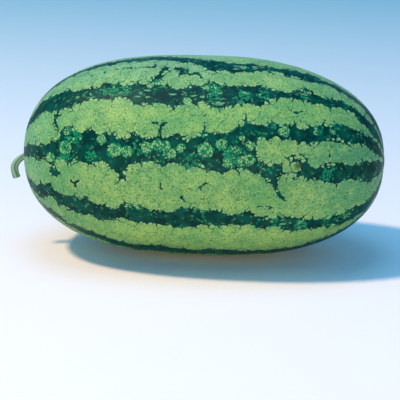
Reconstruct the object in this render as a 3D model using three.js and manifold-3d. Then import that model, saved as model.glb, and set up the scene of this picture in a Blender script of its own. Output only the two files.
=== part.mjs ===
// A whole watermelon of a long striped kind, lying on its side, with the short hooked stem that it
// was cut with. It is two solids: the fruit, which grew as one piece, and the stem.
//
// Millimetres, +Z up. The fruit's axis lies level along X, with the stem end at -X and the blossom
// end at +X. The origin is on the small flat spot that the fruit rests on, under its widest girth.

import * as THREE from "three";
import { mergeVertices } from "three/addons/utils/BufferGeometryUtils.js";
import Module from "manifold-3d";

// Driving dimensions of the fruit, mm.
const girth_diameter = 212;
const stem_side_length = 205;
const blossom_side_length = 175;
const rest_spot_width = 32;

// How full the fruit is: 2 is an ellipse, and a larger value is blunter.
const stem_side_fullness = 2.86;
const blossom_side_fullness = 2.06;
const end_bluntness = 2.4;

// The shallow bowl in the stem end, and the stem's seat at the bottom of it, mm.
const bowl_depth = 3;
const bowl_slope_width = 8;
const seat_drop = 5;
const seat_clearance = 0.5;
const seat_gap = 0.3;

// The stem, mm.
const stem_radius = 3.5;
const ridge_height = 0.35;
const foot_spread = 2.4;
const foot_length = 4.5;
const cut_end_swell = 0.7;
const cut_end_length = 4;

// The middle line of the stem, mm from the middle of its foot: out from the fruit, towards -Y,
// and down. It leaves the fruit sloping down, turns through a hook and ends in a knife cut.
const stem_route = [
  [0, 0, 0],
  [3.4, 0.8, 1.0],
  [8.2, 2.4, 3.9],
  [12.2, 3.8, 7.5],
  [14.6, 4.8, 11.8],
  [14.9, 5.1, 16.2],
  [14.0, 5.1, 20.6],
  [12.9, 5.0, 24.3],
];

// How finely the curved surfaces are divided.
const fruit_sides = 56;
const fruit_rings = 40;
const bowl_sides = 32;
const curve_steps = 6;
const ridge_count = 5;
const points_per_ridge = 3;
const stem_steps = 18;
const end_sides = 16;

// Sizes that follow from the ones above.
const girth_radius = girth_diameter / 2;
const rest_height = Math.sqrt(girth_radius ** 2 - (rest_spot_width / 2) ** 2);
const foot_radius = stem_radius + foot_spread;
const seat_radius = foot_radius + seat_clearance;
const bowl_radius = seat_radius + bowl_slope_width;

const wasm = await Module();
wasm.setup();

// A closed geometry as a solid that can be cut and joined. Triangles that a pole of a
// lathe shrinks to a line are left out.
function solidOf(geometry) {
  const plain = geometry.clone();
  plain.deleteAttribute("normal");
  plain.deleteAttribute("uv");
  const merged = mergeVertices(plain);
  const corners = merged.index.array;
  const kept = [];
  for (let i = 0; i < corners.length; i += 3) {
    const [a, b, c] = [corners[i], corners[i + 1], corners[i + 2]];
    if (a !== b && b !== c && c !== a) {
      kept.push(a, b, c);
    }
  }
  return new wasm.Manifold(
    new wasm.Mesh({
      numProp: 3,
      vertProperties: new Float32Array(merged.attributes.position.array),
      triVerts: new Uint32Array(kept),
    }),
  );
}

// A finished solid as a named mesh.
function meshOf(name, solid, material) {
  const { vertProperties, triVerts } = solid.getMesh();
  const geometry = new THREE.BufferGeometry();
  geometry.setAttribute("position", new THREE.BufferAttribute(vertProperties, 3));
  geometry.setIndex(new THREE.BufferAttribute(triVerts, 1));
  geometry.computeVertexNormals();
  const mesh = new THREE.Mesh(geometry, material);
  mesh.name = name;
  return mesh;
}

// A turned shape about the X axis. The profile's points are [radius, x], in order of x.
function turned(profile, sides) {
  const points = profile.map(([radius, x]) => new THREE.Vector2(radius, x));
  return new THREE.LatheGeometry(points, sides).rotateZ(-Math.PI / 2);
}

// The fruit's outline, from the stem end to the blossom end: on each side of the widest girth the
// radius falls away as a superellipse of that side's own length and fullness.
function fruitProfile() {
  const profile = [];
  for (let i = 0; i <= fruit_rings; i++) {
    const share = -Math.cos((Math.PI * i) / fruit_rings);
    const on_stem_side = share < 0;
    const length = on_stem_side ? stem_side_length : blossom_side_length;
    const fullness = on_stem_side ? stem_side_fullness : blossom_side_fullness;
    const remaining = Math.max(0, 1 - Math.abs(share) ** fullness);
    profile.push([girth_radius * remaining ** (1 / end_bluntness), share * length]);
  }
  return profile;
}

// What is taken out for the bowl: a flat seat as wide as the stem's foot with its clearance, and a
// slope that curves up to the end of the fruit. x = 0 is the seat.
function bowlCutter() {
  const outside = -bowl_depth - girth_radius;
  const profile = [[0, outside], [bowl_radius, outside]];
  for (let i = curve_steps; i >= 0; i--) {
    const share = i / curve_steps;
    profile.push([seat_radius + bowl_slope_width * share, -bowl_depth * share ** 2]);
  }
  profile.push([0, 0]);
  return turned(profile, bowl_sides);
}

function fruitSolid() {
  const body = solidOf(turned(fruitProfile(), fruit_sides));
  const bowl = bowlCutter().translate(bowl_depth - stem_side_length, 0, -seat_drop);
  const below = new THREE.BoxGeometry(
    2 * (stem_side_length + blossom_side_length),
    2 * girth_diameter,
    girth_diameter,
  ).translate(0, 0, -rest_height - girth_radius);
  return body.subtract(solidOf(bowl)).subtract(solidOf(below));
}

// The stem's section: round, with low ridges along it.
function stemSection() {
  const count = ridge_count * points_per_ridge;
  const outline = [];
  for (let i = 0; i < count; i++) {
    const angle = (2 * Math.PI * i) / count;
    const radius = stem_radius + ridge_height * Math.cos(ridge_count * angle);
    outline.push(new THREE.Vector2(radius * Math.cos(angle), radius * Math.sin(angle)));
  }
  return new THREE.Shape(outline);
}

// The stem: a ridged rod along its route, a foot that spreads over the seat, and a swollen end
// where it was cut. x = 0 is the underside of the foot. The rod starts half way up the foot, so
// that its first section, which is slanted, stays off the seat.
function stemSolid() {
  const route = new THREE.CatmullRomCurve3(
    stem_route.map(([out, side, down]) => new THREE.Vector3(-out, -side, -down)),
  );
  const rod_points = route.getPoints(stem_steps).filter((point) => point.x < -foot_length / 2);
  const rod = new THREE.ExtrudeGeometry(stemSection(), {
    steps: stem_steps,
    extrudePath: new THREE.CatmullRomCurve3(rod_points),
  });

  const foot_profile = [];
  for (let i = curve_steps; i >= 0; i--) {
    const share = i / curve_steps;
    foot_profile.push([stem_radius + foot_spread * (1 - share) ** 2, -foot_length * share]);
  }
  const foot = turned([[0, -foot_length], ...foot_profile, [0, 0]], end_sides);

  const end_profile = [];
  for (let i = 0; i <= curve_steps; i++) {
    const share = i / curve_steps;
    end_profile.push([
      stem_radius + cut_end_swell * Math.sin((Math.PI / 2) * share),
      -cut_end_length * (1 - share),
    ]);
  }
  const end = turned([[0, -cut_end_length], ...end_profile, [0, 0]], end_sides);
  const end_turn = new THREE.Quaternion().setFromUnitVectors(
    new THREE.Vector3(1, 0, 0),
    route.getTangent(1),
  );
  end.applyQuaternion(end_turn).translate(...route.getPoint(1).toArray());

  return solidOf(rod).add(solidOf(foot)).add(solidOf(end));
}

const rind = new THREE.MeshStandardMaterial({ color: 0x4c8f5a, roughness: 0.42, metalness: 0 });
const green_stem = new THREE.MeshStandardMaterial({ color: 0x7f9f78, roughness: 0.6, metalness: 0 });

const fruit = meshOf("fruit", fruitSolid(), rind);
fruit.position.set(0, 0, rest_height);

const stem = meshOf("stem", stemSolid(), green_stem);
stem.position.set(bowl_depth - seat_gap - stem_side_length, 0, rest_height - seat_drop);

const watermelon = new THREE.Group();
watermelon.add(fruit, stem);

export default watermelon;
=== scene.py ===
"""The looks of a whole striped watermelon and its stem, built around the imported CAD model.

Blender units are metres, and sizes below are in millimetres where their names or comments say so.
+X runs along the fruit to the blossom end, -X to the stem end, +Z is up, and the fruit lies on its
rest spot at z = 0. An angle about the fruit is in degrees: 0 faces -Y, 90 is the top, 180 faces +Y
and -90 is underneath.
"""

import math

import bpy
import numpy as np
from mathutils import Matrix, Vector


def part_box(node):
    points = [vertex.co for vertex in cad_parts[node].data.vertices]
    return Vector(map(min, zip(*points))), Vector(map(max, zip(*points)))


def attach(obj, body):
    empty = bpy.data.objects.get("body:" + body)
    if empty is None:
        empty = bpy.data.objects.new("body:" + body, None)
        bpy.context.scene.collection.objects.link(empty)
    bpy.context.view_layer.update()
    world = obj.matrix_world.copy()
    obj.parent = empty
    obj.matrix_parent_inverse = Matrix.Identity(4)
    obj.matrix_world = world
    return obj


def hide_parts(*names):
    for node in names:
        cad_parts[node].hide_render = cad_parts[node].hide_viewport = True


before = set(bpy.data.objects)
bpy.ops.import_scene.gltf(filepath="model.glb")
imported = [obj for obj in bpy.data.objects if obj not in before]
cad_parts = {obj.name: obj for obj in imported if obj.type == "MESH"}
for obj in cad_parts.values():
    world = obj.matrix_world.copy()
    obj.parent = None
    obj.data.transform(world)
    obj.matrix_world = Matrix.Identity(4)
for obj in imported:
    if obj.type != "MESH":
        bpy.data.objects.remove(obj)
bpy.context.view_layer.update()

MM = 0.001

# ---------------------------------------------------------------------------------------------
# The fruit's sizes, from its CAD box. How full each side is repeats the CAD outline's exponents.
fruit_low, fruit_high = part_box("fruit")
GIRTH_RADIUS = (fruit_high.y - fruit_low.y) / 2
AXIS_HEIGHT = fruit_high.z - GIRTH_RADIUS
STEM_SIDE_LENGTH = -fruit_low.x
BLOSSOM_SIDE_LENGTH = fruit_high.x
STEM_SIDE_FULLNESS = 2.86
BLOSSOM_SIDE_FULLNESS = 2.06
END_BLUNTNESS = 2.4

# The bowl in the stem end, with the flat seat that the stem's foot stands clear of.
SEAT_DROP = 5 * MM
SEAT_RADIUS = 6.6 * MM
BOWL_RADIUS = 17 * MM
SEAT_GAP = 0.3 * MM
SEAT_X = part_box("stem")[1].x + SEAT_GAP

# The blossom scar: a low ring round a small pit.
SCAR_RING_RADIUS = 4.5 * MM
SCAR_RING_WIDTH = 1.6 * MM
SCAR_RING_HEIGHT = 0.5 * MM
SCAR_PIT_RADIUS = 2.8 * MM
SCAR_PIT_DEPTH = 1.0 * MM

# The slow swells of the skin: height in mm at the widest girth, waves round it, twist along the
# fruit in radians for each metre, and phase. The whole skin is drawn in by SWELL_DROP, in mm.
SWELLS = [(0.25, 10, 0, 0.6), (0.35, 3, 14, 1.1), (0.4, 2, -22, 0), (0.25, 5, 31, 2)]
SWELL_DROP = 0.6

# How finely the skin is divided, and how finely its outline is measured first.
FRUIT_ROWS = 300
FRUIT_COLUMNS = 328
OUTLINE_POINTS = 6001

# ---------------------------------------------------------------------------------------------
# Painted light on the light rind. A pair is where a change starts and where it is whole, in degrees or
# in mm from the widest girth, towards the stem end where the name says so. A paler blue green tint,
# painted sheen, is least along both sides, where the rind is warmest, at the first angle here above
# and below the axis. It grows away from there and at the stem end, but less so towards the blossom end.
LEAST_SHEEN_ANGLE = 22
SHEEN_AWAY = (20, 62)
SHEEN_STEM_END = (160, 190)
SHEEN_FADE = (-10, 50)
SHEEN_FADE_SHARE = 0.55

# Painted shade gives it a deeper green on both sides, at about the height of the axis, near the
# blossom end, and half as much at both ends.
SHADE_ALONG = (70, 160)
SHADE_FROM_BELOW = (-40, -12)
SHADE_UP_TO = (20, 50)
SHADE_BLOSSOM_END = (130, 172)
SHADE_STEM_END = (80, 175)
SHADE_END_SHARE = 0.5

# The pale ground spot: its middle, its half sizes in mm, and the share of them that is wholly pale.
GROUND_ANGLE = -96
GROUND_PLACE = -20
GROUND_HALF_WIDTH = 62
GROUND_HALF_LENGTH = 120
GROUND_WHOLE = 0.35

# ---------------------------------------------------------------------------------------------
# The dark stripes. Each is a list of (mm along the fruit, lower edge, upper edge), edges as angles.
STRIPES = [
    # Over the top of the fruit.
    [(-160, 84, 92), (-130, 85, 92), (-105, 84.5, 93), (-80, 85, 93), (-62, 86, 94), (-50, 85, 93),
     (-38, 83, 91), (-25, 80, 88), (-15, 76, 86), (0, 72, 85), (18, 72, 83), (34, 73.5, 84.5),
     (50, 76.5, 83.5), (65, 78, 85), (80, 77, 87), (94, 77.5, 89), (107, 79.5, 86), (130, 81, 89),
     (150, 81, 92), (165, 76, 96)],
    # Above the middle of the face.
    [(-190, 48, 62), (-180, 50, 67), (-170, 49, 67), (-157, 46, 64), (-142, 47, 62), (-129, 50, 60),
     (-116, 50, 60), (-101, 49, 61), (-86, 48.5, 60), (-70, 46, 59), (-54, 45, 58), (-38, 44, 56),
     (-22, 45, 57), (-5, 46, 61), (3, 43, 62), (18, 43.5, 58), (34, 48, 58), (50, 46, 61),
     (57, 51, 59), (65, 53, 58), (80, 55, 62), (94, 56, 64), (107, 56, 64.5), (119, 57, 65),
     (130, 60, 68.5), (141, 62, 68), (150, 60, 68), (160, 54, 68)],
    # Along the middle of the face, up to where it parts round a light island.
    [(-194, 6, 22), (-183, 8, 20), (-170, 9, 20), (-158, 7, 21), (-152, 8, 27), (-148, 8, 34),
     (-142, 8, 31), (-129, 10.5, 26), (-116, 10, 28.5), (-101, 8, 27), (-86, 6, 25),
     (-70, 12, 25.5), (-54, 12, 26), (-38, 10, 26), (-22, 11, 24.5), (-5, 10.5, 26), (11, 8, 28),
     (18, 7, 29.5), (34, 9, 32), (50, 8, 35)],
    # Its upper branch.
    [(40, 27, 34.5), (50, 27.5, 35.5), (65, 27.5, 37), (80, 28, 38), (94, 26, 34.5), (100, 26, 37),
     (107, 27, 39), (119, 31, 42.5), (130, 32, 44), (141, 31, 44), (150, 33, 45.5), (157, 32, 46),
     (166, 28, 45)],
    # Its lower branch, which a light lobe breaks.
    [(40, 8, 16), (50, 6.5, 14), (58, 5, 13), (65, 3, 13.5), (71, 1, 13.5), (76, 2, 11)],
    [(83, 13.5, 18), (92, 12, 17.5), (98, 7.5, 15), (103, 4, 13.5), (109, 3, 12), (119, 0, 11.5),
     (130, -1, 12.5), (141, -1, 14.5), (150, 0, 13), (154, -1, 16), (158, -6, 19), (166, -9, 17)],
    # Below the middle of the face.
    [(-196, -38, -24), (-185, -34, -19), (-174, -28, -14), (-166, -24, -10.5), (-158, -27, -15),
     (-149, -28, -18), (-137, -27, -15), (-110, -27, -17), (-80, -25, -16), (-50, -28, -18),
     (-20, -27, -15), (10, -25, -15), (26, -25, -18), (42, -24, -15.5), (52, -29, -20),
     (65, -29, -21), (80, -33, -23), (94, -35, -24), (107, -37, -28), (119, -41, -29),
     (130, -44, -31), (141, -48, -31), (150, -52, -32), (160, -57, -38)],
    # Low on the face.
    [(-190, -52, -44), (-175, -50, -41), (-157, -50, -41), (-137, -54, -45), (-110, -58, -47),
     (-80, -62, -50), (-50, -60, -50), (-20, -62, -52), (18, -62, -50), (50, -64, -54),
     (75, -70, -56), (94, -74, -57), (119, -76, -58), (140, -77, -60), (160, -80, -62)],
]

# The stripes of the far side and the underside: the middle angle and the width of each, which
# wander along the fruit.
FAR_STRIPES = [(112, 10), (139, 13), (168, 9), (199, 13), (231, 9), (262, 8)]
FAR_STRIPE_STATIONS = np.linspace(-196, 168, 20)
FAR_STRIPE_SEED = 11

# How the middle of a far stripe drifts, in degrees, and how its width swells, as a share of it:
# the height of each sine wave, and how often it comes along the stripe.
FAR_DRIFT_WAVES = [(3.2, 0.7), (1.6, 1.9)]
FAR_SWELL_WAVES = [(0.22, 2.3), (0.18, 4.1)]

# Marks on the far stripes keep this far from their ends, in mm, and stray from the middle by up to
# this share of the width.
FAR_MARK_CLEAR = 20
FAR_MARK_ASIDE = 0.25

# A stripe that reaches this far from the widest girth, in mm, runs on to the end of the fruit.
OPEN_END = 152

# The depth, in mm, given to points far outside every mark, and to the two poles, which are dark.
FAR_OUTSIDE = -40.0
DARK_AT_ENDS = 5

# Round spots of light rind inside the dark stripes: (mm along the fruit, angle, radius in mm).
SPOTS = [
    (-163, 11, 4), (-153, 8, 5), (-146, 18.5, 6.6), (-146, 29, 3.2), (-107, 23.5, 4.2), (-93, 17.5, 7),
    (-80, 17, 5.2), (-60, 19.5, 5.2), (-49, 21, 5.2), (-40, 20.5, 4.5), (-34, 16.5, 4.5), (-25, 20, 4),
    (0, 19, 7), (16, 22.5, 5.5), (30, 20, 4), (22, 12.5, 4), (37, 14, 4.5), (44.5, 22.5, 4.2),
    (44, 14.5, 5.4), (77, 32, 5), (124, 37.5, 2.4), (108, 34, 2.2), (36, 26.5, 2.6),
    (-22, 47.5, 4), (-5, 57, 2.8), (-62, 58.5, 3.6), (122, -30, 3), (29, 78.5, 3), (40, 79, 2.6),
]

# Mottled places in the dark stripes, where green cells stand in a dark net, in the same way.
MOTTLES = [
    (-138, 25, 11), (-146, 14, 10), (-92, 56, 13), (-104, 56, 8), (-38, 18, 10), (-16, 12.5, 9),
    (28, 16, 14), (3, 56, 10), (34, 54, 8), (54, 55, 8), (110, 36, 6), (-118, 14, 8),
    (-70, 19, 7), (6, 50, 8), (70, -26, 8), (96, -31, 7), (136, -36, 9), (120, 5, 7),
]

# Where pale streaks run along the fruit in the dark stripes, in the same way.
STREAKS = [
    (-141, 53, 9), (-122, 57, 10), (-66, 55, 13), (-34, 51, 12), (-8, 50, 12), (12, 49, 11), (30, 52, 9),
    (92, 60, 9), (24, 78, 11), (46, 79, 10), (72, -26, 12), (96, -31, 11), (138, -34, 12), (60, 55, 9),
]

# Small healed scars in the skin, in the same way.
SCARS = [(92.5, 12, 3.8), (-62, 171, 2.6), (40, 118, 2.2), (112, -120, 2.8)]

# How many spots, mottled places and streaked places each far stripe has, and their sizes in mm.
FAR_MARKS = {"spot": (7, 2.5, 6.0), "mottle": (4, 6, 12), "streak": (3, 8, 12)}

# Light lobes that break into the dark stripes: half a width in mm, then points (mm along the
# fruit, angle).
LIGHT_LOBES = [
    (8.5, [(79, 1), (83, 7)]),
    (6.0, [(83, 7.6), (88, 8.6)]),
    (3.6, [(81, 9), (81, 16)]),
]

# Dark veins across the light bands, in the same way.
VEINS = [
    (1.3, [(-158, 32), (-160, 40), (-155, 49)]),
    (4.2, [(-56, 63), (-54, 70), (-50, 73)]),
    (2.6, [(-49, 75), (-43, 76), (-37, 73), (-31, 70)]),
    (1.6, [(60, 6), (66, 3), (70, 0)]),
    (1.5, [(85, 2.5), (95, 7.6)]),
    (2.4, [(-90, 8), (-84, 2), (-78, 0.5)]),
    (3.4, [(-164, 6), (-161, 1), (-158, -1)]),
]

# Fine dark cracks in the light bands, in the same way. Their edges are steep, so they stay thin.
CRACK_STEEPNESS = 3.5
CRACKS = [
    (0.9, [(-128, 74), (-112, 74.5), (-98, 76.5), (-80, 75.5), (-60, 76), (-50, 75)]),
    (0.9, [(-62, 76), (-64, 84)]),
    (1.0, [(-31, 70), (-23, 67.7), (-15, 68.8), (-11, 65)]),
    (1.1, [(70, 0), (71, -4), (77, -7.5), (80, -10)]),
    (1.0, [(53, -13.2), (65, -13.6)]),
    (0.8, [(-56, 34.6), (-47, 32.2), (-40, 34.4)]),
    (0.9, [(-47, 32.2), (-46, 25)]),
    (0.7, [(-10, 1), (-4, -1.6), (2, 1.2)]),
    (0.7, [(-4, -1.6), (-3, -3.5)]),
    (0.8, [(78, 48.6), (87, 45.6), (93, 47)]),
    (0.5, [(-141, -3), (-135, -5), (-131, -3.6)]),
    (0.5, [(-135, -5), (-136, -8)]),
    (0.6, [(-45, -1), (-44, -5)]),
    (0.8, [(-4, 39), (-2, 32), (-4, 27)]),
    (0.8, [(38, 41), (39, 36)]),
    (0.8, [(120, 22), (124, 18)]),
    (0.8, [(-24, -7), (-20, -10)]),
]


def along(x):
    """The outline's radius at x, a superellipse on each side of the widest girth."""
    length = np.where(x < 0, STEM_SIDE_LENGTH, BLOSSOM_SIDE_LENGTH)
    fullness = np.where(x < 0, STEM_SIDE_FULLNESS, BLOSSOM_SIDE_FULLNESS)
    share = np.minimum(1, np.abs(x) / length)
    return GIRTH_RADIUS * (1 - share**fullness) ** (1 / END_BLUNTNESS)


def smooth(low, high, value):
    """0 below low, 1 above high, and the smooth cubic step between them."""
    share = np.clip((value - low) / (high - low), 0, 1)
    return share * share * (3 - 2 * share)


def round_skin(angle, middle, radius):
    """How far an angle lies from a middle one, measured round the skin."""
    return np.radians((angle - middle + 180) % 360 - 180) * radius


def grid_mesh(name, points):
    """A mesh of quads over a grid of points (rows, columns, 3) whose columns close into a ring.

    The rows run along the piece. Seen from past the last row, the columns turn with the clock, so
    that the faces point outwards. Each end is closed by a fan to the middle of its ring.
    """
    rows, columns = points.shape[:2]
    index = np.arange(rows * columns).reshape(rows, columns)
    right = np.roll(index, -1, axis=1)
    quads = np.stack([index[:-1], index[1:], right[1:], right[:-1]], -1).reshape(-1, 4)
    first = rows * columns
    ends = np.stack([points[0].mean(0), points[-1].mean(0)])
    start_fan = np.stack([index[0], right[0], np.full(columns, first)], -1)
    end_fan = np.stack([right[-1], index[-1], np.full(columns, first + 1)], -1)
    corners = np.concatenate([quads.ravel(), start_fan.ravel(), end_fan.ravel()])
    sizes = np.concatenate([np.full(len(quads), 4), np.full(2 * columns, 3)])
    mesh = bpy.data.meshes.new(name)
    mesh.vertices.add(first + 2)
    mesh.vertices.foreach_set("co", np.concatenate([points.reshape(-1, 3), ends]).ravel())
    mesh.loops.add(len(corners))
    mesh.loops.foreach_set("vertex_index", corners)
    mesh.polygons.add(len(sizes))
    mesh.polygons.foreach_set("loop_start", np.concatenate([[0], np.cumsum(sizes)[:-1]]))
    mesh.polygons.foreach_set("loop_total", sizes)
    mesh.update(calc_edges=True)
    mesh.validate()
    mesh.polygons.foreach_set("use_smooth", np.ones(len(sizes), bool))
    piece = bpy.data.objects.new(name, mesh)
    bpy.context.scene.collection.objects.link(piece)
    return piece


def add_attribute(piece, name, values, first_end, last_end):
    """Stores one number for each point of a grid mesh, with the numbers of its two end points."""
    attribute = piece.data.attributes.new(name, "FLOAT", "POINT")
    every = np.concatenate([np.asarray(values, np.float32).ravel(), [first_end, last_end]])
    attribute.data.foreach_set("value", every.astype(np.float32))


def stripe_depth(stations, x, angle, radius):
    """How deep a point lies inside a stripe, in mm: above 0 inside it, below 0 outside it.

    A stripe that reaches past OPEN_END runs on to the end of the fruit; any other stops there.
    """
    place, lower, upper = np.array(stations, float).T
    middle = np.interp(x, place, (lower + upper) / 2)
    half = np.interp(x, place, (upper - lower) / 2)
    depth = np.radians(half) * radius - np.abs(round_skin(angle, middle, radius))
    first = place[0] if place[0] > -OPEN_END else -np.inf
    last = place[-1] if place[-1] < OPEN_END else np.inf
    return np.minimum(depth, np.minimum(x - first, last - x))


def vein_depth(half_width, points, x, angle, radius):
    """The same for a vein or a lobe: half its width less the distance to the line through it."""
    distance = np.full(x.shape, np.inf)
    for (x0, a0), (x1, a1) in zip(points[:-1], points[1:]):
        side = round_skin(angle, a0, radius)
        run, rise = x1 - x0, np.radians(a1 - a0) * radius
        share = np.clip(((x - x0) * run + side * rise) / (run**2 + rise**2), 0, 1)
        distance = np.minimum(distance, np.hypot(x - x0 - share * run, side - share * rise))
    return half_width - distance


def sine_waves(waves, phases, turn):
    """The sum of some sine waves, each with its height, how often it comes in a turn, and phase."""
    return sum(high * np.sin(turn * often + phase) for (high, often), phase in zip(waves, phases))


def far_side():
    """The far stripes and the marks in them, by a seeded draw.

    The middle and the width of each stripe wander smoothly as sums of sine waves, and its marks lie
    near its middle, anywhere along it.
    """
    rng = np.random.default_rng(FAR_STRIPE_SEED)
    place = FAR_STRIPE_STATIONS
    turn = (place - place[0]) / (place[-1] - place[0]) * math.tau
    stripes = []
    marks = {kind: [] for kind in FAR_MARKS}
    for middle, width in FAR_STRIPES:
        phases = rng.uniform(0, math.tau, 4)
        centre = middle + sine_waves(FAR_DRIFT_WAVES, phases[:2], turn)
        half = width / 2 * (1 + sine_waves(FAR_SWELL_WAVES, phases[2:], turn))
        stripes.append(list(zip(place, centre - half, centre + half)))
        for kind, (count, smallest, largest) in FAR_MARKS.items():
            at = rng.uniform(place[0] + FAR_MARK_CLEAR, place[-1] - FAR_MARK_CLEAR, count)
            aside = rng.uniform(-FAR_MARK_ASIDE, FAR_MARK_ASIDE, count) * width
            sizes = rng.uniform(smallest, largest, count)
            marks[kind] += list(zip(at, np.interp(at, place, centre) + aside, sizes))
    return stripes, marks


def dark_depth(stripes, x, angle, radius):
    """How deep each point lies in the dark rind, in mm.

    It is the deepest of the stripes, less the light lobes, and then the deepest of that, the veins
    and the cracks.
    """
    depth = np.full(x.shape, -np.inf)
    for stations in stripes:
        depth = np.maximum(depth, stripe_depth(stations, x, angle, radius))
    for half_width, points in LIGHT_LOBES:
        depth = np.minimum(depth, -vein_depth(half_width, points, x, angle, radius))
    for half_width, points in VEINS:
        depth = np.maximum(depth, vein_depth(half_width, points, x, angle, radius))
    for half_width, points in CRACKS:
        crack = vein_depth(half_width, points, x, angle, radius)
        depth = np.maximum(depth, crack * CRACK_STEEPNESS)
    return np.maximum(depth, FAR_OUTSIDE)


def disc_depth(discs, x, angle, radius):
    """How deep each point lies in the disc on the skin that holds it deepest, in mm."""
    depth = np.full(x.shape, FAR_OUTSIDE)
    for place, middle, disc_radius in discs:
        side = round_skin(angle, middle, radius)
        depth = np.maximum(depth, disc_radius - np.hypot(x - place, side))
    return depth


def painted_light_shares(x, angle):
    """Painted sheen and painted shade on the light rind, each from 0 to 1, by smooth steps."""
    from_level = np.degrees(np.arcsin(np.sin(np.radians(angle))))
    cool = smooth(*SHEEN_AWAY, np.abs(np.abs(from_level) - LEAST_SHEEN_ANGLE))
    cool = cool * (1 - SHEEN_FADE_SHARE * smooth(*SHEEN_FADE, x))
    cool = np.maximum(cool, smooth(*SHEEN_STEM_END, -x))
    side = smooth(*SHADE_FROM_BELOW, from_level) * (1 - smooth(*SHADE_UP_TO, from_level))
    at_ends = np.maximum(smooth(*SHADE_BLOSSOM_END, x), smooth(*SHADE_STEM_END, -x))
    deep = np.maximum(smooth(*SHADE_ALONG, x) * side, SHADE_END_SHARE * at_ends)
    return cool, deep


def fruit_piece():
    """The fruit: a turned superellipse with slow swells, kept from going below the floor.

    Rows are spaced evenly along the outline, from pole to pole, and columns evenly round it. The
    radius swells by a few slow waves, the stem end sinks smoothly to the stem's flat seat, and the
    blossom end has a ring and a pit.
    """
    fine = -np.cos(np.linspace(0, math.pi, OUTLINE_POINTS))
    fine_x = np.where(fine < 0, fine * STEM_SIDE_LENGTH, fine * BLOSSOM_SIDE_LENGTH)
    steps = np.hypot(np.diff(fine_x), np.diff(along(fine_x)))
    length = np.concatenate([[0], np.cumsum(steps)])
    even = np.linspace(0, length[-1], FRUIT_ROWS + 2)[1:-1]
    x = np.interp(even, length, fine_x)[:, None]
    angle = np.linspace(-180, 180, FRUIT_COLUMNS, endpoint=False)[None, :]
    turn = np.radians(angle)
    outline = along(x)
    swell = sum(
        high * np.cos(waves * turn + twist * x + phase) for high, waves, twist, phase in SWELLS
    )
    radius = outline * (1 + (swell - SWELL_DROP) * MM / GIRTH_RADIUS)
    across = -radius * np.cos(turn)
    above = radius * np.sin(turn)
    along_x = np.broadcast_to(x, across.shape).copy()

    from_seat = np.hypot(across, above + SEAT_DROP)
    sink = (1 - smooth(SEAT_RADIUS, BOWL_RADIUS, from_seat)) * (along_x < 0)
    along_x += (SEAT_X - along_x) * sink
    from_axis = np.hypot(across, above)
    ring = SCAR_RING_HEIGHT * np.exp(-(((from_axis - SCAR_RING_RADIUS) / SCAR_RING_WIDTH) ** 2))
    pit = SCAR_PIT_DEPTH * np.exp(-((from_axis / SCAR_PIT_RADIUS) ** 2))
    along_x += (ring - pit) * (along_x > 0)

    height = np.maximum(0, AXIS_HEIGHT + above)
    piece = grid_mesh("watermelon_fruit", np.stack([along_x, across, height], -1))

    # What the rind's material reads at each point, in mm where it is a depth.
    x_mm = np.broadcast_to(x, across.shape) / MM
    angles = np.broadcast_to(angle, across.shape)
    radius_mm = radius / MM
    stripes, marks = far_side()
    depth = dark_depth(STRIPES + stripes, x_mm, angles, radius_mm)
    add_attribute(piece, "dark_depth", depth, DARK_AT_ENDS, DARK_AT_ENDS)
    discs = {
        "spot_depth": SPOTS + marks["spot"],
        "mottle_depth": MOTTLES + marks["mottle"],
        "streak_depth": STREAKS + marks["streak"],
    }
    for name, places in discs.items():
        depth = disc_depth(places, x_mm, angles, radius_mm)
        add_attribute(piece, name, depth, FAR_OUTSIDE, FAR_OUTSIDE)
    in_pit = np.where(x_mm > 0, (SCAR_PIT_RADIUS - from_axis) / MM, FAR_OUTSIDE)
    scar = np.maximum(disc_depth(SCARS, x_mm, angles, radius_mm), in_pit)
    add_attribute(piece, "scar_depth", scar, FAR_OUTSIDE, SCAR_PIT_RADIUS / MM)
    girth_share = np.broadcast_to(outline / GIRTH_RADIUS, across.shape)
    add_attribute(piece, "girth_share", girth_share, 0, 0)
    # Painted light: a paler blue green sheen, and a deeper green shade near the blossom end and at both
    # ends.
    cool, deep = painted_light_shares(x_mm, angles)
    add_attribute(piece, "painted_sheen", cool, 1, 1)
    # Painted shade: a deeper green near the blossom end and at both ends.
    add_attribute(piece, "painted_shade", deep, SHADE_END_SHARE, SHADE_END_SHARE)
    across_spot = round_skin(angles, GROUND_ANGLE, radius_mm) / GROUND_HALF_WIDTH
    along_spot = (x_mm - GROUND_PLACE) / GROUND_HALF_LENGTH
    ground_spot = 1 - smooth(GROUND_WHOLE, 1, np.hypot(across_spot, along_spot))
    add_attribute(piece, "ground_spot", ground_spot, 0, 0)
    return piece


# ---------------------------------------------------------------------------------------------
# The stem. Its middle line repeats the CAD route: mm out from the fruit, towards -Y, and down.
STEM_ROUTE = [
    (0, 0, 0), (3.4, 0.8, 1.0), (8.2, 2.4, 3.9), (12.2, 3.8, 7.5), (14.6, 4.8, 11.8),
    (14.9, 5.1, 16.2), (14.0, 5.1, 20.6), (12.9, 5.0, 24.3),
]
STEM_ROWS = 150
STEM_COLUMNS = 90
ROUTE_POINTS = 600

# The first rows all face straight out of the fruit, so that the foot is flat.
FLAT_ROWS = 4

# Its radius in mm: the rod, what the hook and the cut end add, and the foot's spread, which dies
# away over FOOT_LENGTH. Pairs are where along it, as a share, an addition starts and is whole.
ROD_RADIUS = 3.15
HOOK_SWELL = 0.75
HOOK_SHARES = (0.2, 0.75)
RIM_SWELL = 0.15
RIM_SHARES = (0.86, 0.98)
FOOT_SPREAD = 2.3
FOOT_LENGTH = 6.5 * MM
FOOT_CURVE = 1.6

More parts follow.
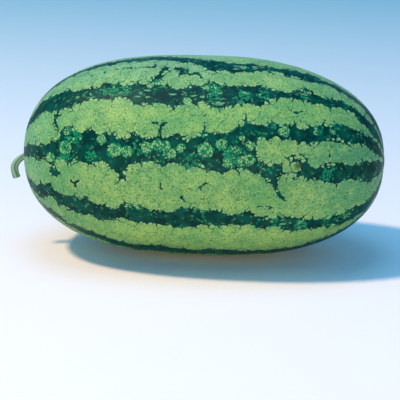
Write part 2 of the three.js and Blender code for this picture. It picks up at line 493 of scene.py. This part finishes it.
# Its ridges, how far they wind from end to end in radians, and how high they stand as a share of
# the radius. Then the fine ribs over them, how far their waves shift from end to end in radians,
# and their height in mm.
RIDGES = 5
RIDGE_WIND = 0.9
RIDGE_HEIGHT = 0.075
FINE_RIBS = 17
FINE_RIB_WIND = 9
FINE_RIB_HEIGHT = 0.06

# The rings that close the foot, as shares of its radius, and those of the rounded cut, each with
# how far it stands out in mm.
FOOT_RINGS = (0.3, 0.65, 0.9)
CUT_RINGS = ((0.96, 0.3), (0.88, 0.55), (0.72, 0.62), (0.45, 0.5), (0.2, 0.42))

# Nearly square to the plane that the hook lies in.
HOOK_NORMAL = (0.0, 1.0, -0.3)


def smooth_curve(points, count):
    """Points along the curve through the given ones, by Catmull and Rom's cubic on each stretch."""
    knots = np.array(points, float)
    padded = np.concatenate([[2 * knots[0] - knots[1]], knots, [2 * knots[-1] - knots[-2]]])
    place = np.linspace(0, len(knots) - 1, count)
    stretch = np.minimum(place.astype(int), len(knots) - 2)
    t = (place - stretch)[:, None]
    a, b, c, d = (padded[stretch + i] for i in range(4))
    square = (2 * a - 5 * b + 4 * c - d) * t**2
    cube = (3 * b - a - 3 * c + d) * t**3
    return 0.5 * (2 * b + (c - a) * t + square + cube)


def stem_piece():
    """The stem: a ridged rod carried along its route.

    Its radius spreads into a foot at the fruit, thins, thickens again through the hook and ends in
    a softly rounded cut. Its ridges wind slowly round it, each a cosine wave with a sharper crest
    added.
    """
    out_side_down = smooth_curve(STEM_ROUTE, ROUTE_POINTS)
    seat = np.array([SEAT_X - SEAT_GAP, 0, AXIS_HEIGHT - SEAT_DROP])
    line = seat - out_side_down * MM
    length = np.concatenate([[0], np.cumsum(np.linalg.norm(np.diff(line, axis=0), axis=1))])
    even = np.linspace(0, length[-1], STEM_ROWS)
    centre = np.stack([np.interp(even, length, line[:, i]) for i in range(3)], -1)
    ahead = np.gradient(centre, even, axis=0)
    ahead[:FLAT_ROWS] = (-1, 0, 0)
    ahead /= np.linalg.norm(ahead, axis=1)[:, None]
    side = np.cross(ahead, HOOK_NORMAL)
    side /= np.linalg.norm(side, axis=1)[:, None]
    up = np.cross(ahead, side)

    share = even / length[-1]
    foot = FOOT_SPREAD * (1 - smooth(0, FOOT_LENGTH, even)) ** FOOT_CURVE
    swell = HOOK_SWELL * smooth(*HOOK_SHARES, share) + RIM_SWELL * smooth(*RIM_SHARES, share)
    radius = (foot + ROD_RADIUS + swell)[:, None]
    share = share[:, None]
    turn = np.linspace(0, math.tau, STEM_COLUMNS, endpoint=False)[None, :]
    wound = RIDGES * (turn + RIDGE_WIND * share)
    ridge = 0.6 * np.cos(wound) + 0.4 * np.abs(np.cos(wound / 2)) ** 3
    ribs = FINE_RIB_HEIGHT * np.cos(FINE_RIBS * turn + FINE_RIB_WIND * share)
    ridged = (radius * (1 + RIDGE_HEIGHT * ridge) + ribs)[..., None] * MM

    round_line = side[:, None] * np.cos(turn)[..., None] + up[:, None] * np.sin(turn)[..., None]
    rod = centre[:, None] + round_line * ridged
    start = [centre[0] + round_line[0] * ridged[0] * inset for inset in FOOT_RINGS]
    end = [
        centre[-1] + round_line[-1] * ridged[-1] * inset + ahead[-1] * proud * MM
        for inset, proud in CUT_RINGS
    ]
    points = np.concatenate([start, rod, end])

    # The columns are reversed, so that they turn with the clock.
    piece = grid_mesh("watermelon_stem", points[:, ::-1])

    at_start = np.repeat(ridge[:1], len(start), axis=0)
    at_end = np.zeros((len(end), STEM_COLUMNS))
    add_attribute(piece, "ridge", np.concatenate([at_start, ridge, at_end])[:, ::-1], 0, 0)
    is_cut = np.arange(len(points)) >= len(points) - len(end)
    add_attribute(piece, "cut", np.repeat(is_cut, STEM_COLUMNS), 0, 1)
    return piece


# ---------------------------------------------------------------------------------------------
# Materials.

# Real sizes of the rind's pattern, in mm from middle to middle: its lobes, the scallops on their
# edges, the teeth on those, the cells of its spots and mottles, its dots and its pale dashes.
LOBE = 17
SCALLOP = 5
TOOTH = 2.1
CELL = 2.7
DOT = 2.9
DASH = 2.8

# How far, in mm, lobes, scallops and teeth move the edge of a dark stripe, for each of their own
# spacings away from their middles.
LOBE_REACH = 7
SCALLOP_REACH = 3.8
TOOTH_REACH = 1.3

# How far the dark rind runs up between two lobes and two scallops, and half how wide, in mm.
LOBE_SPIKE = (4.2, 1.1)
SCALLOP_SPIKE = (1.9, 0.6)

# The mean distance to the nearest point of a cell pattern, in cells.
MEAN_NEAREST = 0.56

# The range, in mm, that the pattern is pushed about in, so that no cell is regular, and the length
# over which the push changes.
PUSH = 6
PUSH_LENGTH = 9

# X is squeezed to this share for the dashes, so that they are about three times as long as wide.
DASH_SQUEEZE = 0.3

# The lengths, in mm, over which the rind's tints change: slow, blotches, patches and fine grain.
SLOW = 60
LIGHT_BLOTCH = 12
DARK_BLOTCH = 10
PATCH = 16
GRAIN = 1.6

# The dents and the pores of the skin: their length and their depth, in mm. A real rind's pores are
# too fine to show, so these are drawn as coarse as they need to be.
DENT, DENT_DEPTH = 40, 0.8
PORE, PORE_DEPTH = 2.4, 0.08

# The stalk's grain, in the same way.
STALK_GRAIN, STALK_GRAIN_DEPTH = 1, 0.15


def colour(hex_value):
    """A colour given as sRGB hex, turned to the linear values that nodes use."""
    channels = [int(hex_value[i : i + 2], 16) / 255 for i in (1, 3, 5)]
    return [c / 12.92 if c <= 0.04045 else ((c + 0.055) / 1.055) ** 2.4 for c in channels] + [1]


def add_node(tree, kind, settings, links, output=0):
    """Adds a shader node with its settings and links, and returns one of its outputs, if any."""
    node = tree.nodes.new("ShaderNode" + kind)
    for name, value in settings.items():
        if isinstance(name, str) and hasattr(node, name):
            setattr(node, name, value)
        else:
            node.inputs[name].default_value = value
    for name, source in links.items():
        tree.links.new(source, node.inputs[name])
    return node.outputs[output] if node.outputs else None


def new_material(name):
    """A node material with nothing in it, and its tree."""
    material = bpy.data.materials.new(name)
    material.use_nodes = True
    material.node_tree.nodes.clear()
    return material, material.node_tree


def per_metre(spacing):
    """A texture's scale, from the distance in mm between its cells or waves."""
    return 1 / (spacing * MM)


def rind_edge(tree, place):
    """How dark the rind is, from 0 to 1: the stripes, with their edges moved into lobes.

    The depth inside a stripe has three sizes of round cells added to it, so that the light rind
    ends in lobes with scalloped and toothed edges, and a thin ramp along the edges between cells,
    so that the dark rind runs up between them in points. Also returned are that depth in mm, the
    pushed coordinates, and how far a point is from a seam between lobes and between scallops.
    """
    stripe = add_node(tree, "Attribute", {"attribute_name": "dark_depth"}, {}, "Fac")
    girth = add_node(tree, "Attribute", {"attribute_name": "girth_share"}, {}, "Fac")
    push = add_node(
        tree, "TexNoise", {"Scale": per_metre(PUSH_LENGTH), "Detail": 2}, {"Vector": place}, "Color"
    )
    centred = add_node(tree, "VectorMath", {"operation": "SUBTRACT", 1: (0.5, 0.5, 0.5)}, {0: push})
    moved = add_node(
        tree, "VectorMath", {"operation": "MULTIPLY_ADD", 1: [PUSH * MM] * 3}, {0: centred, 2: place}
    )
    moves = []
    for spacing, reach in ((LOBE, LOBE_REACH), (SCALLOP, SCALLOP_REACH), (TOOTH, TOOTH_REACH)):
        nearest = add_node(
            tree, "TexVoronoi", {"Scale": per_metre(spacing)}, {"Vector": moved}, "Distance"
        )
        moves.append(add_node(
            tree, "Math", {"operation": "MULTIPLY_ADD", 1: reach, 2: -reach * MEAN_NEAREST},
            {0: nearest},
        ))
    seams = []
    for spacing, (spike, half_width) in ((LOBE, LOBE_SPIKE), (SCALLOP, SCALLOP_SPIKE)):
        seam = add_node(
            tree, "TexVoronoi", {"feature": "DISTANCE_TO_EDGE", "Scale": per_metre(spacing)},
            {"Vector": moved}, "Distance",
        )
        moves.append(add_node(
            tree, "MapRange", {"From Max": half_width / spacing, "To Min": spike, "To Max": 0.0},
            {"Value": seam},
        ))
        seams.append(seam)
    total = moves[0]
    for move in moves[1:]:
        total = add_node(tree, "Math", {"operation": "ADD"}, {0: total, 1: move})

    # Near the ends, where stripes are thin, their edges move less.
    near_end = add_node(
        tree, "MapRange", {"From Min": 0.1, "From Max": 0.75, "To Min": 0.25}, {"Value": girth}
    )
    depth = add_node(
        tree, "Math", {"operation": "MULTIPLY_ADD"}, {0: total, 1: near_end, 2: stripe}
    )
    dark = add_node(
        tree, "MapRange", {"interpolation_type": "SMOOTHSTEP", "From Min": -0.4, "From Max": 0.4},
        {"Value": depth},
    )
    return dark, depth, moved, seams


def light_rind(tree, place, moved, depth, seams):
    """The light rind's colour: yellow green with painted sheen and shade, grained, dotted and seamed.

    Its edges are paler, fine dark dots stand all over it, and broken dotted seams part its lobes.
    """
    slow = add_node(
        tree, "TexNoise", {"Scale": per_metre(SLOW), "Detail": 2}, {"Vector": place}, "Fac"
    )
    blotch = add_node(
        tree, "TexNoise", {"Scale": per_metre(LIGHT_BLOTCH), "Detail": 4}, {"Vector": place}, "Fac"
    )
    grain = add_node(
        tree, "TexNoise", {"Scale": per_metre(GRAIN), "Detail": 3}, {"Vector": place}, "Fac"
    )
    painted_sheen = add_node(tree, "Attribute", {"attribute_name": "painted_sheen"}, {}, "Fac")
    painted_shade = add_node(tree, "Attribute", {"attribute_name": "painted_shade"}, {}, "Fac")
    by_slow = add_node(tree, "MapRange", {"From Min": 0.4, "From Max": 0.6}, {"Value": slow})
    light = add_node(
        tree, "Mix", {"data_type": "RGBA", "A": colour("#74a65c"), "B": colour("#93b562")},
        {"Factor": by_slow}, "Result",
    )

    # Each tint comes in between two values of its source, up to a share, over those before it.
    tints = (
        # Painted sheen: a paler blue green on the top, the bottom and the stem end.
        (painted_sheen, 0.0, 1.0, 0.75, "#84b68c"),
        # Painted shade: a deeper green towards the blossom end and at both ends.
        (painted_shade, 0.0, 1.0, 0.75, "#50966e"),
        (blotch, 0.45, 0.65, 0.55, "#57965a"),
        (blotch, 0.46, 0.34, 0.5, "#9fba5e"),
        (grain, 0.44, 0.66, 0.6, "#4b7c45"),
        (grain, 0.46, 0.32, 0.28, "#b9d08c"),
        (depth, -3.0, -0.8, 0.4, "#a4c98a"),
    )
    for source, start, whole, most, tint in tints:
        share = add_node(
            tree, "MapRange", {"From Min": start, "From Max": whole, "To Max": most}, {"Value": source}
        )
        light = add_node(
            tree, "Mix", {"data_type": "RGBA", "B": colour(tint)}, {"Factor": share, "A": light},
            "Result",
        )

    # A dot in the middle of each cell, as wide as the cell's own chance makes it.
    dot = add_node(tree, "TexVoronoi", {"Scale": per_metre(DOT)}, {"Vector": moved}, "Distance")
    chance = add_node(tree, "SeparateColor", {}, {"Color": dot.node.outputs["Color"]}, "Red")
    width = add_node(
        tree, "MapRange", {"From Min": 0.1, "From Max": 0.9, "To Min": 0.05, "To Max": 0.36},
        {"Value": chance},
    )
    inside = add_node(tree, "Math", {"operation": "SUBTRACT"}, {0: width, 1: dot})
    dotted = add_node(
        tree, "MapRange", {"From Min": -0.06, "From Max": 0.12, "To Max": 0.6}, {"Value": inside}
    )
    by_scallop = add_node(
        tree, "MapRange", {"From Min": 0.02, "From Max": 0.13, "To Min": 1.0, "To Max": 0.0},
        {"Value": seams[1]},
    )
    by_rim = add_node(
        tree, "MapRange", {"From Min": -6.0, "From Max": -1.0, "To Max": 0.6}, {"Value": depth}
    )
    scalloped = add_node(tree, "Math", {"operation": "MULTIPLY"}, {0: by_scallop, 1: by_rim})
    by_seam = add_node(
        tree, "MapRange", {"From Min": 0.02, "From Max": 0.055, "To Min": 0.8, "To Max": 0.0},
        {"Value": seams[0]},
    )
    broken = add_node(tree, "MapRange", {"From Min": 0.5, "From Max": 0.6}, {"Value": grain})
    seamed = add_node(tree, "Math", {"operation": "MULTIPLY"}, {0: by_seam, 1: broken})
    for share, tint in ((dotted, "#265c3a"), (scalloped, "#3a7a4a"), (seamed, "#2b6740")):
        light = add_node(
            tree, "Mix", {"data_type": "RGBA", "B": colour(tint)}, {"Factor": share, "A": light},
            "Result",
        )
    return light


def dark_rind(tree, place, moved):
    """The dark rind's colour: deep blue green, with green and light cells in a dark net.

    Each small cell has its own chance. It is green or light where that chance is below how spotted
    and mottled the rind is there, and pale dashes along the fruit are chosen in the same way.
    """
    blotch = add_node(
        tree, "TexNoise", {"Scale": per_metre(DARK_BLOTCH), "Detail": 3}, {"Vector": place}, "Fac"
    )
    patch = add_node(
        tree, "TexNoise", {"Scale": per_metre(PATCH), "Detail": 2}, {"Vector": moved}, "Fac"
    )
    spot = add_node(tree, "Attribute", {"attribute_name": "spot_depth"}, {}, "Fac")
    mottle = add_node(tree, "Attribute", {"attribute_name": "mottle_depth"}, {}, "Fac")
    streak = add_node(tree, "Attribute", {"attribute_name": "streak_depth"}, {}, "Fac")
    by_blotch = add_node(tree, "MapRange", {"From Min": 0.4, "From Max": 0.65}, {"Value": blotch})
    deep = add_node(
        tree, "Mix", {"data_type": "RGBA", "A": colour("#012f29"), "B": colour("#034b3a")},
        {"Factor": by_blotch}, "Result",
    )

    # A spot is lightest in a ring round its middle.
    in_spot = add_node(tree, "MapRange", {"From Min": -1.2, "From Max": 0.6}, {"Value": spot})
    in_middle = add_node(
        tree, "MapRange", {"From Min": 1.8, "From Max": 4.5, "To Max": 0.4}, {"Value": spot}
    )
    spot_ring = add_node(tree, "Math", {"operation": "SUBTRACT"}, {0: in_spot, 1: in_middle})

    cell = add_node(tree, "TexVoronoi", {"Scale": per_metre(CELL)}, {"Vector": moved}, "Color")
    net = add_node(
        tree, "TexVoronoi", {"feature": "DISTANCE_TO_EDGE", "Scale": per_metre(CELL)},
        {"Vector": moved}, "Distance",
    )
    in_cell = add_node(tree, "MapRange", {"From Min": 0.03, "From Max": 0.15}, {"Value": net})

    # How many cells are chosen is the most that any source gives, between two of its values.
    green_sources = ((patch, 0.5, 0.72, 0.35), (mottle, -2.0, 5.0, 0.75), (spot, -1.6, 0.2, 1.1))
    light_sources = ((patch, 0.58, 0.75, 0.08), (mottle, 0.0, 6.0, 0.14), (spot_ring, 0.0, 1.0, 0.8))
    for sources, channel, tint in (
        (green_sources, "Red", "#178a58"),
        (light_sources, "Green", "#7db26b"),
    ):
        chance = add_node(tree, "SeparateColor", {}, {"Color": cell}, channel)
        parts = [
            add_node(
                tree, "MapRange", {"From Min": start, "From Max": whole, "To Max": most},
                {"Value": source},
            )
            for source, start, whole, most in sources
        ]
        chosen_share = parts[0]
        for part in parts[1:]:
            chosen_share = add_node(
                tree, "Math", {"operation": "MAXIMUM"}, {0: chosen_share, 1: part}
            )
        over = add_node(tree, "Math", {"operation": "SUBTRACT"}, {0: chosen_share, 1: chance})
        chosen = add_node(tree, "MapRange", {"From Min": -0.08, "From Max": 0.1}, {"Value": over})
        shown = add_node(tree, "Math", {"operation": "MULTIPLY"}, {0: chosen, 1: in_cell})
        deep = add_node(
            tree, "Mix", {"data_type": "RGBA", "B": colour(tint)}, {"Factor": shown, "A": deep},
            "Result",
        )

    squeezed = add_node(
        tree, "VectorMath", {"operation": "MULTIPLY", 1: (DASH_SQUEEZE, 1, 1)}, {0: moved}
    )
    dash = add_node(tree, "TexVoronoi", {"Scale": per_metre(DASH)}, {"Vector": squeezed}, "Distance")
    chance = add_node(tree, "SeparateColor", {}, {"Color": dash.node.outputs["Color"]}, "Red")
    streaked = add_node(
        tree, "MapRange", {"From Min": -2.0, "From Max": 6.0, "To Max": 0.5}, {"Value": streak}
    )
    over = add_node(tree, "Math", {"operation": "SUBTRACT"}, {0: streaked, 1: chance})
    chosen = add_node(
        tree, "MapRange", {"From Min": -0.05, "From Max": 0.15, "To Max": 0.7}, {"Value": over}
    )
    in_dash = add_node(
        tree, "MapRange", {"From Min": 0.3, "From Max": 0.5, "To Min": 1.0, "To Max": 0.0},
        {"Value": dash},
    )
    shown = add_node(tree, "Math", {"operation": "MULTIPLY"}, {0: chosen, 1: in_dash})
    return add_node(
        tree, "Mix", {"data_type": "RGBA", "B": colour("#7db078")}, {"Factor": shown, "A": deep},
        "Result",
    )


def rind_material():
    """Watermelon rind: hard smooth skin under a thin bloom of its own wax.

    The wax makes its gloss weak, broad and soft, and the skin's slow dents bend it.
    """
    material, tree = new_material("waxy_watermelon_rind")
    place = add_node(tree, "TexCoord", {}, {}, "Object")
    dark, depth, moved, seams = rind_edge(tree, place)
    light = light_rind(tree, place, moved, depth, seams)
    deep = dark_rind(tree, place, moved)
    rind = add_node(
        tree, "Mix", {"data_type": "RGBA"}, {"Factor": dark, "A": light, "B": deep}, "Result"
    )

    # The ground spot's pale yellow and the corky brown of healed scars lie over the pattern.
    ground_spot = add_node(tree, "Attribute", {"attribute_name": "ground_spot"}, {}, "Fac")
    scar_depth = add_node(tree, "Attribute", {"attribute_name": "scar_depth"}, {}, "Fac")
    for source, start, whole, tint in (
        (ground_spot, 0.0, 1.0, "#c9bf72"),
        (scar_depth, -0.5, 1.5, "#434e22"),
    ):
        share = add_node(
            tree, "MapRange", {"From Min": start, "From Max": whole, "To Max": 0.8}, {"Value": source}
        )
        rind = add_node(
            tree, "Mix", {"data_type": "RGBA", "B": colour(tint)}, {"Factor": share, "A": rind},
            "Result",
        )

    dent = add_node(tree, "TexNoise", {"Scale": per_metre(DENT), "Detail": 2}, {"Vector": place}, "Fac")
    pore = add_node(tree, "TexNoise", {"Scale": per_metre(PORE), "Detail": 2}, {"Vector": place}, "Fac")
    dents = add_node(tree, "Bump", {"Strength": 0.5, "Distance": DENT_DEPTH * MM}, {"Height": dent})
    pores = add_node(
        tree, "Bump", {"Strength": 0.3, "Distance": PORE_DEPTH * MM}, {"Height": pore, "Normal": dents}
    )
    roughness = add_node(
        tree, "MapRange", {"From Min": 0.3, "From Max": 0.7, "To Min": 0.36, "To Max": 0.46},
        {"Value": dent},
    )
    shader = add_node(
        tree, "BsdfPrincipled", {"IOR": 1.38, "Specular IOR Level": 0.1},
        {"Base Color": rind, "Roughness": roughness, "Normal": pores},
    )
    add_node(tree, "OutputMaterial", {}, {"Surface": shader})
    return material


def stem_material():
    """Green plant stalk, grown and cut: soft, ridged and matt; paler ridges are partly painted
    highlight.

    Its cut end is drying, so that is paler and browner.
    """
    material, tree = new_material("green_ridged_stalk")
    place = add_node(tree, "TexCoord", {}, {}, "Object")
    ridge = add_node(tree, "Attribute", {"attribute_name": "ridge"}, {}, "Fac")
    cut = add_node(tree, "Attribute", {"attribute_name": "cut"}, {}, "Fac")
    grain = add_node(
        tree, "TexNoise", {"Scale": per_metre(STALK_GRAIN), "Detail": 3}, {"Vector": place}, "Fac"
    )
    # Paler ridges and darker grooves: partly the stalk's own colour, partly painted highlight and shade.
    on_ridge = add_node(tree, "MapRange", {"From Min": -0.5, "From Max": 0.9}, {"Value": ridge})
    stalk = add_node(
        tree, "Mix", {"data_type": "RGBA", "A": colour("#56865c"), "B": colour("#a4b798")},
        {"Factor": on_ridge}, "Result",
    )
    by_grain = add_node(
        tree, "MapRange", {"From Min": 0.35, "From Max": 0.65, "To Max": 0.3}, {"Value": grain}
    )
    for share, tint in ((by_grain, "#3d6140"), (cut, "#a8a87c")):
        stalk = add_node(
            tree, "Mix", {"data_type": "RGBA", "B": colour(tint)}, {"Factor": share, "A": stalk},
            "Result",
        )
    bump = add_node(
        tree, "Bump", {"Strength": 0.4, "Distance": STALK_GRAIN_DEPTH * MM}, {"Height": grain}
    )
    shader = add_node(
        tree, "BsdfPrincipled", {"IOR": 1.42, "Roughness": 0.55}, {"Base Color": stalk, "Normal": bump}
    )
    add_node(tree, "OutputMaterial", {}, {"Surface": shader})
    return material


def floor_material():
    """Matt studio paper: soft blue behind the fruit, near white in front by painted light."""
    material, tree = new_material("pale_studio_paper")
    place = add_node(tree, "TexCoord", {}, {}, "Object")
    away = add_node(tree, "SeparateXYZ", {}, {"Vector": place}, "Y")
    # The near white front is painted light, standing in for the lamps washing out the blue paper.
    behind = add_node(
        tree, "MapRange", {"interpolation_type": "SMOOTHSTEP", "From Min": -0.4, "From Max": 2.2},
        {"Value": away},
    )
    paper = add_node(
        tree, "Mix", {"data_type": "RGBA", "A": colour("#fff0e8"), "B": colour("#48a8b8")},
        {"Factor": behind}, "Result",
    )
    shader = add_node(
        tree, "BsdfPrincipled", {"Roughness": 0.9, "Specular IOR Level": 0.2}, {"Base Color": paper}
    )
    add_node(tree, "OutputMaterial", {}, {"Surface": shader})
    return material


# ---------------------------------------------------------------------------------------------
# The pieces.
fruit = fruit_piece()
fruit.data.materials.append(rind_material())
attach(fruit, "root")
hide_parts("fruit")

stem = stem_piece()
stem.data.materials.append(stem_material())
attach(stem, "root")
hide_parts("stem")

# ---------------------------------------------------------------------------------------------
# The floor, a square this far to each side of the middle.
FLOOR_HALF = 4.0
floor_corners = [(x * FLOOR_HALF, y * FLOOR_HALF, 0) for x, y in ((-1, -1), (1, -1), (1, 1), (-1, 1))]
floor_mesh = bpy.data.meshes.new("studio_floor")
floor_mesh.from_pydata(floor_corners, [], [(0, 1, 2, 3)])
floor_mesh.materials.append(floor_material())
floor = bpy.data.objects.new("studio_floor", floor_mesh)
bpy.context.scene.collection.objects.link(floor)

# The camera looks at the fruit's face from a little to the blossom end's side and from above.
CAMERA_AZIMUTH = math.radians(7.2)
CAMERA_ELEVATION = math.radians(16)
CAMERA_DISTANCE = 2.0
FRAME_WIDTH = 422 * MM
AIM_RIGHT = -3.4 * MM
AIM_UP = -46.8 * MM
SENSOR_WIDTH = 36.0

middle = Vector(((BLOSSOM_SIDE_LENGTH - STEM_SIDE_LENGTH) / 2, 0, AXIS_HEIGHT))
back = Vector((
    math.sin(CAMERA_AZIMUTH) * math.cos(CAMERA_ELEVATION),
    -math.cos(CAMERA_AZIMUTH) * math.cos(CAMERA_ELEVATION),
    math.sin(CAMERA_ELEVATION),
))
right = Vector((math.cos(CAMERA_AZIMUTH), math.sin(CAMERA_AZIMUTH), 0))
camera_data = bpy.data.cameras.new("studio_camera")
camera_data.sensor_width = SENSOR_WIDTH
camera_data.lens = SENSOR_WIDTH * CAMERA_DISTANCE / FRAME_WIDTH
camera = bpy.data.objects.new("studio_camera", camera_data)
camera.location = middle + back * CAMERA_DISTANCE
target = middle + right * AIM_RIGHT + back.cross(right) * AIM_UP
camera.rotation_euler = (target - camera.location).to_track_quat("-Z", "Y").to_euler()
bpy.context.scene.collection.objects.link(camera)
bpy.context.scene.camera = camera

# The soft boxes, each aimed at the fruit: where it stands, its width and height in metres, its
# power in watts and its tint. The warm key throws the shadow, and the others fill it.
SOFT_BOXES = {
    "key_box": ((-2.8, -0.68, 4.85), 0.6, 0.6, 264, "#ffe2c0"),
    "front_box": ((0.2, -3.2, 0.6), 3.2, 0.9, 40, "#fff0dc"),
    "top_box": ((-0.2, 0.1, 2.7), 1.4, 1.4, 23, "#96d2ff"),
}
for name, (place, width, height, power, tint) in SOFT_BOXES.items():
    box_data = bpy.data.lights.new(name, "AREA")
    box_data.shape = "RECTANGLE"
    box_data.size = width
    box_data.size_y = height
    box_data.energy = power
    box_data.color = colour(tint)[:3]
    box = bpy.data.objects.new(name, box_data)
    box.location = place
    box.rotation_euler = (middle - box.location).to_track_quat("-Z", "Y").to_euler()
    bpy.context.scene.collection.objects.link(box)

# The room: pale walls round the horizon, and a cool blue light that falls from overhead.
world = bpy.data.worlds.new("pale_studio")
world.use_nodes = True
world_tree = world.node_tree
world_tree.nodes.clear()
direction = add_node(world_tree, "TexCoord", {}, {}, "Generated")
upward = add_node(world_tree, "SeparateXYZ", {}, {"Vector": direction}, "Z")
overhead = add_node(
    world_tree, "MapRange", {"interpolation_type": "SMOOTHSTEP", "From Min": 0.06, "From Max": 0.3},
    {"Value": upward},
)
room = add_node(
    world_tree, "Mix", {"data_type": "RGBA", "A": colour("#c9e0ec"), "B": colour("#26a4ec")},
    {"Factor": overhead}, "Result",
)
background = add_node(world_tree, "Background", {"Strength": 0.87}, {"Color": room})
add_node(world_tree, "OutputWorld", {}, {"Surface": background})
bpy.context.scene.world = world
bpy.context.scene.view_settings.view_transform = "Standard"
